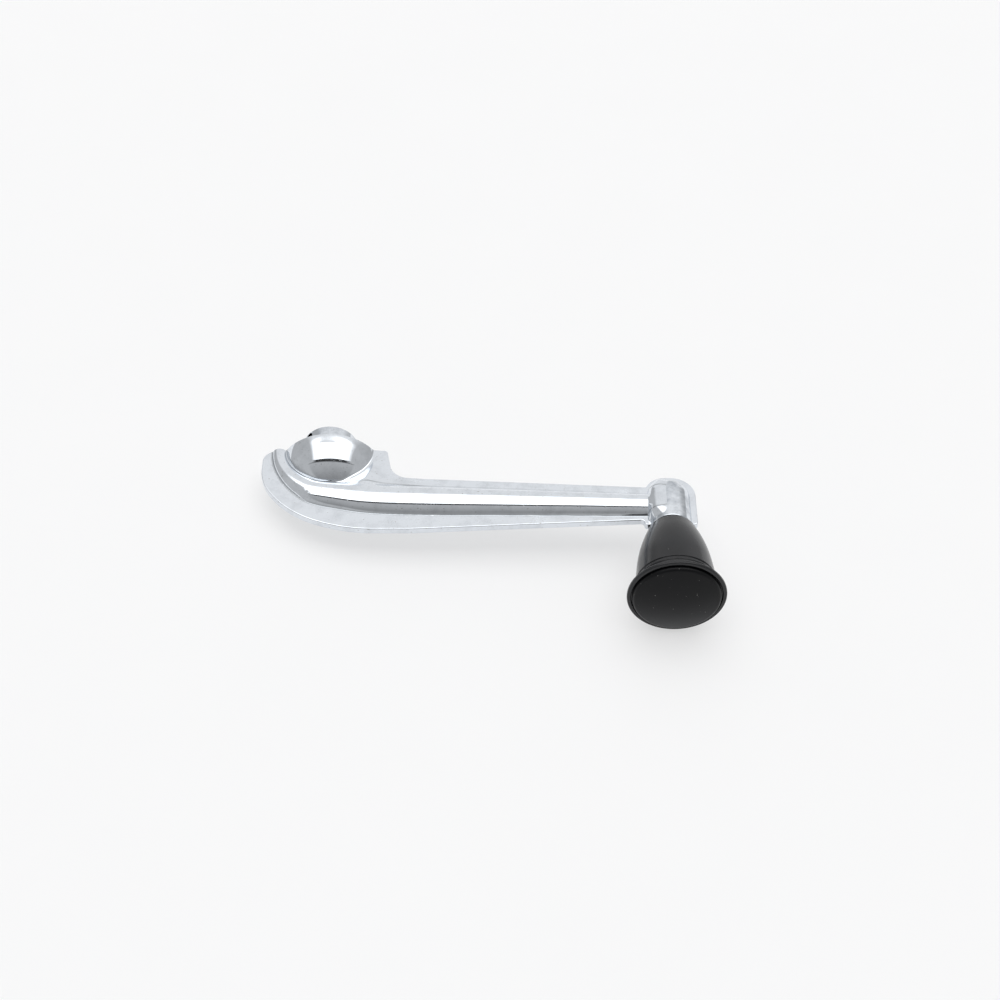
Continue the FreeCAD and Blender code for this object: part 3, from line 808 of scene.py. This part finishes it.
def near_place(tree, add, x, y, reach):
    """One at a place on the casting's faces, given in millimetres, falling to nothing at the reach."""
    place = add("ShaderNodeTexCoord")
    flat = add("ShaderNodeVectorMath", operation="MULTIPLY")
    flat.inputs[1].default_value = (1, 1, 0)
    away = add("ShaderNodeVectorMath", operation="DISTANCE")
    away.inputs[1].default_value = (x * MM, y * MM, 0)
    tree.links.new(place.outputs["Object"], flat.inputs[0])
    tree.links.new(flat.outputs["Vector"], away.inputs[0])
    return remap(tree, add, away.outputs["Value"], 0.3 * reach * MM, reach * MM, 1.0, 0.0)


def combine(tree, add, operation, first, second):
    """Two values, each a number or a socket, joined by a sum, a product or another such operation."""
    node = add("ShaderNodeMath", operation=operation)
    for socket, value in zip(node.inputs, (first, second)):
        if isinstance(value, float):
            socket.default_value = value
        else:
            tree.links.new(value, socket)
    return node.outputs[0]


def chrome(name, stain, wear, ripple, patches=()):
    """Old bright chrome: slow ripples, fine pits, cloudy worn areas, and rough patches from the casting."""
    coat, tree, shader, add = new_material(name)
    shader.inputs["Metallic"].default_value = 1.0
    cloud = remap(tree, add, noise(tree, add, 260, 5, 0.6), 0.5 - 0.1 * wear, 0.78, 0.0, 1.0)
    speck = remap(tree, add, noise(tree, add, 1900, 2, 0.5), 0.66, 0.76, 0.0, 1.0)
    stained = tuple(channel - stain for channel in CHROME_STAINED)
    tone = mix_colour(tree, add, cloud, CHROME, stained)
    tone = mix_colour(tree, add, speck, tone, CHROME_PITTED)
    # Painted shade: the chrome is darkened in the crease along the rib's foot.
    crease_dark = add("ShaderNodeAttribute", attribute_name="crease_shade").outputs["Fac"]
    tone = mix_colour(tree, add, crease_dark, tone, CHROME_CREASE_SHADE)
    tree.links.new(tone, shader.inputs["Base Color"])
    tree.links.new(remap(tree, add, cloud, 0.0, 1.0, 0.05, 0.05 + 0.2 * wear), shader.inputs["Roughness"])
    wave = bump(tree, add, noise(tree, add, 150, 2, 0.45), 0.25, ripple)
    pits = bump(tree, add, speck, 0.3, -0.00003, wave)
    for x, y, reach in patches:
        here = near_place(tree, add, x, y, reach)
        rough = combine(tree, add, "MULTIPLY", here, noise(tree, add, 1500, 4, 0.7))
        pits = bump(tree, add, rough, 0.5, 0.00008, pits)
    grain = bump(tree, add, noise(tree, add, 3200, 2, 0.6), 0.12, 0.00001, pits)
    tree.links.new(grain, shader.inputs["Normal"])
    return coat


def black_plastic(name, colour, low, high, dust, bend, painted_sheen=0.0):
    """Moulded black plastic, a little scuffed, with pale dust specks and painted light that greys its lower
    side.
    """
    coat, tree, shader, add = new_material(name)
    haze = remap(tree, add, noise(tree, add, 180, 5, 0.6), 0.35, 0.7, 0.0, 1.0)
    speck = remap(tree, add, noise(tree, add, 2400, 1, 0.4), 0.80 - dust, 0.84 - dust, 0.0, 1.0)
    pale = tuple(channel * 1.5 for channel in colour)
    tone = mix_colour(tree, add, haze, colour, pale)
    place = add("ShaderNodeTexCoord")
    split = add("ShaderNodeSeparateXYZ")
    tree.links.new(place.outputs["Object"], split.inputs["Vector"])
    # Painted light: the piece is greyed towards its lower side, most at the bottom.
    lower = remap(tree, add, split.outputs["Z"], -SHEEN_REACH * MM, SHEEN_REACH * MM, 1.0, 0.0)
    sheen = combine(tree, add, "MULTIPLY", combine(tree, add, "POWER", lower, SHEEN_POWER), painted_sheen)
    tone = mix_colour(tree, add, sheen, tone, SHEEN_GREY)
    tone = mix_colour(tree, add, speck, tone, DUST)
    tree.links.new(tone, shader.inputs["Base Color"])
    tree.links.new(remap(tree, add, haze, 0.0, 1.0, low, high), shader.inputs["Roughness"])
    shader.inputs["IOR"].default_value = bend
    skin = bump(tree, add, noise(tree, add, 2200, 3, 0.6), 0.12, 0.00002)
    tree.links.new(skin, shader.inputs["Normal"])
    return coat


def turned_metal(name, colour, roughness, worn):
    """Lathe-turned bare metal: rings across the axis and a few darker stains."""
    coat, tree, shader, add = new_material(name)
    shader.inputs["Metallic"].default_value = 1.0
    rings = noise(tree, add, 900, 2, 0.5, stretch=(0.05, 6.0, 0.05))
    stain = remap(tree, add, noise(tree, add, 420, 4, 0.6), 0.45, 0.7, 0.0, 1.0)
    dark = tuple(channel * worn for channel in colour)
    tree.links.new(mix_colour(tree, add, stain, colour, dark), shader.inputs["Base Color"])
    tree.links.new(remap(tree, add, rings, 0.3, 0.7, roughness - 0.07, roughness + 0.1),
                   shader.inputs["Roughness"])
    tree.links.new(bump(tree, add, rings, 0.3, 0.00002), shader.inputs["Normal"])
    return coat


def table_material():
    """A white light table: almost even, with the faintest mottling, and a soft glow of its own."""
    coat, tree, shader, add = new_material("white_table")
    tone = mix_colour(tree, add, noise(tree, add, 30, 3, 0.5), TABLE_WHITE, TABLE_PALE)
    tree.links.new(tone, shader.inputs["Base Color"])
    shader.inputs["Emission Color"].default_value = (1.0, 1.0, 1.0, 1.0)
    shader.inputs["Emission Strength"].default_value = TABLE_GLOW
    shader.inputs["Roughness"].default_value = 0.6
    shader.inputs["Specular IOR Level"].default_value = 0.2
    return coat


# ---- build the object
# where the casting's skin stayed rough: x, y and reach
ROUGH_PATCHES = (
    (24.5, -16.6, 3.2),
    (8.0, -19.0, 4.5),
    (60.0, -31.0, 3.5),
    (83.0, -20.0, 3.0),
)
bright = chrome("worn_chrome", stain=0.14, wear=0.45, ripple=0.00006, patches=ROUGH_PATCHES)
cloudy = chrome("clouded_chrome", stain=0.42, wear=1.0, ripple=0.00012)
casting_shell(bright)
spindle_boss(cloudy)
spindle_boss_wall(cloudy)
knob_boss(cloudy)
knob(black_plastic("knob_black", KNOB_BLACK, low=0.15, high=0.26, dust=0.0, bend=1.42))
# The disc gets painted light on its lower side.
cap(black_plastic("cap_black", CAP_BLACK, low=0.3, high=0.4, dust=0.03, bend=1.26, painted_sheen=0.8))

steel = turned_metal("turned_steel", STEEL, roughness=0.3, worn=0.6)
dark_steel = turned_metal("black_steel", BLACKENED, roughness=0.42, worn=0.5)
brass = turned_metal("turned_brass", BRASS, roughness=0.3, worn=0.6)
for node, coat in (("spindle_sleeve", steel), ("grub_screw", dark_steel), ("pivot_bolt", steel),
                   ("boss_washer", steel), ("wave_washer", steel), ("knob_bush", brass)):
    for slot in frame["nodes"][node].material_slots:
        slot.material = coat

# ---- table, light and camera
# The handle rests on its dome and on the knob's rim, so the table falls a little from left to right.
REST_LEFT = -DOME_HIGH
REST_RIGHT = -KNOB_HIGH[2]
TABLE_HALF = 3000.0
GAP = 0.03
fall = (REST_RIGHT - REST_LEFT) / KNOB_X
corners = []
for right, back in ((-1, -1), (1, -1), (1, 1), (-1, 1)):
    x, y = right * TABLE_HALF, back * TABLE_HALF
    corners.append((x * MM, y * MM, (REST_LEFT - GAP + fall * x) * MM))
table_mesh = bpy.data.meshes.new("table")
table_mesh.from_pydata(corners, [], [(0, 1, 2, 3)])
table = bpy.data.objects.new("table", table_mesh)
bpy.context.scene.collection.objects.link(table)
table_mesh.materials.append(table_material())


# The room by direction. Degrees run from the horizon behind the object, over the top, to the horizon behind
# the camera, each with its brightness: first down the room's middle, then on both sides.
SEAM = 112.5
MIDDLE = (
    (0, 0.21),
    (44, 0.215),
    (48, 0.23),
    (57, 0.50),
    (106.0, 0.50),
    (107.5, 0.01),
    (SEAM, 0.01),
    (115.0, 0.12),
    (135, 0.10),
    (150, 0.075),
    (162, 0.085),
    (180, 0.08),
)
WINGS = (
    (0, 0.12),
    (40, 0.125),
    (70, 0.135),
    (100, 0.13),
    (140, 0.13),
    (160, 0.135),
    (180, 0.12),
)
# The light's left and right edges, in degrees to the side, and how softly each one fades.
LIGHT_LEFT, LEFT_FADE = 38, 9
LIGHT_RIGHT, RIGHT_FADE = 46, 13
# The dim zone is an oval from the seam down: its middle and its half width to the side, its height, its fade.
DIM_ASIDE, DIM_HALF, DIM_HEIGHT = 4, 50, 52
DIM_EDGE, DIM_FADE = 1.02, 0.1
ROOM_STRENGTH = 4.2


def studio_world():
    """A white room with a big soft light overhead, a dim zone behind the camera and a dark seam between."""
    world = bpy.data.worlds.new("studio")
    bpy.context.scene.world = world
    world.use_nodes = True
    tree = world.node_tree
    background = tree.nodes["Background"]
    link = tree.links.new

    def math_node(operation, first, second=None, clamp=False):
        node = tree.nodes.new("ShaderNodeMath")
        node.operation = operation
        node.use_clamp = clamp
        for socket, value in zip(node.inputs, (first, second)):
            if value is None:
                continue
            if isinstance(value, (int, float)):
                socket.default_value = value
            else:
                link(value, socket)
        return node.outputs[0]

    def ramp(share, stops):
        node = tree.nodes.new("ShaderNodeValToRGB")
        link(share, node.inputs["Fac"])
        node.color_ramp.interpolation = "LINEAR"
        elements = node.color_ramp.elements
        while len(elements) < len(stops):
            elements.new(0.5)
        for element, (degrees, level) in zip(elements, stops):
            element.position = degrees / 180
            element.color = (level, level, level, 1)
        return node.outputs["Color"]

    place = tree.nodes.new("ShaderNodeTexCoord")
    split = tree.nodes.new("ShaderNodeSeparateXYZ")
    link(place.outputs["Generated"], split.inputs[0])
    x, y, z = split.outputs
    over = math_node("DIVIDE", math_node("ARCTAN2", z, y), math.pi)
    upright = math_node("SQRT", math_node("ADD", math_node("MULTIPLY", y, y), math_node("MULTIPLY", z, z)))
    aside = math_node("DIVIDE", math_node("ARCTAN2", x, upright), math.pi / 180)
    middle = ramp(over, MIDDLE)
    wings = ramp(over, WINGS)
    left = math_node("DIVIDE", math_node("ADD", aside, LIGHT_LEFT), LEFT_FADE, clamp=True)
    right = math_node("DIVIDE", math_node("SUBTRACT", LIGHT_RIGHT, aside), RIGHT_FADE, clamp=True)
    lit = math_node("MULTIPLY", left, right)
    across = math_node("DIVIDE", math_node("SUBTRACT", aside, DIM_ASIDE), DIM_HALF)
    along = math_node("DIVIDE", math_node("SUBTRACT", over, SEAM / 180), DIM_HEIGHT / 180)
    round_off = math_node("SQRT", math_node("ADD", math_node("MULTIPLY", across, across),
                                            math_node("MULTIPLY", along, along)))
    dim = math_node("DIVIDE", math_node("SUBTRACT", DIM_EDGE, round_off), DIM_FADE, clamp=True)
    ahead = math_node("GREATER_THAN", over, SEAM / 180)
    inside = math_node("ADD", math_node("MULTIPLY", lit, math_node("SUBTRACT", 1.0, ahead)),
                       math_node("MULTIPLY", dim, ahead))
    mix = tree.nodes.new("ShaderNodeMix")
    mix.data_type = "RGBA"
    link(inside, mix.inputs["Factor"])
    link(wings, mix.inputs[6])
    link(middle, mix.inputs[7])
    link(mix.outputs[2], background.inputs["Color"])
    background.inputs["Strength"].default_value = ROOM_STRENGTH


studio_world()

TARGET = Vector((48.6, -21.9, 0.0)) * MM
TILT = math.radians(45.6)
DISTANCE = 572.0 * MM
LENS = 73.5
SENSOR = 36.0
camera_data = bpy.data.cameras.new("camera")
camera_data.lens = LENS
camera_data.sensor_width = SENSOR
camera = bpy.data.objects.new("camera", camera_data)
bpy.context.scene.collection.objects.link(camera)
camera.location = TARGET + Vector((0, -math.cos(TILT), math.sin(TILT))) * DISTANCE
camera.rotation_euler = (math.pi / 2 - TILT, 0, 0)
bpy.context.scene.camera = camera
bpy.context.scene.view_settings.view_transform = "Standard"
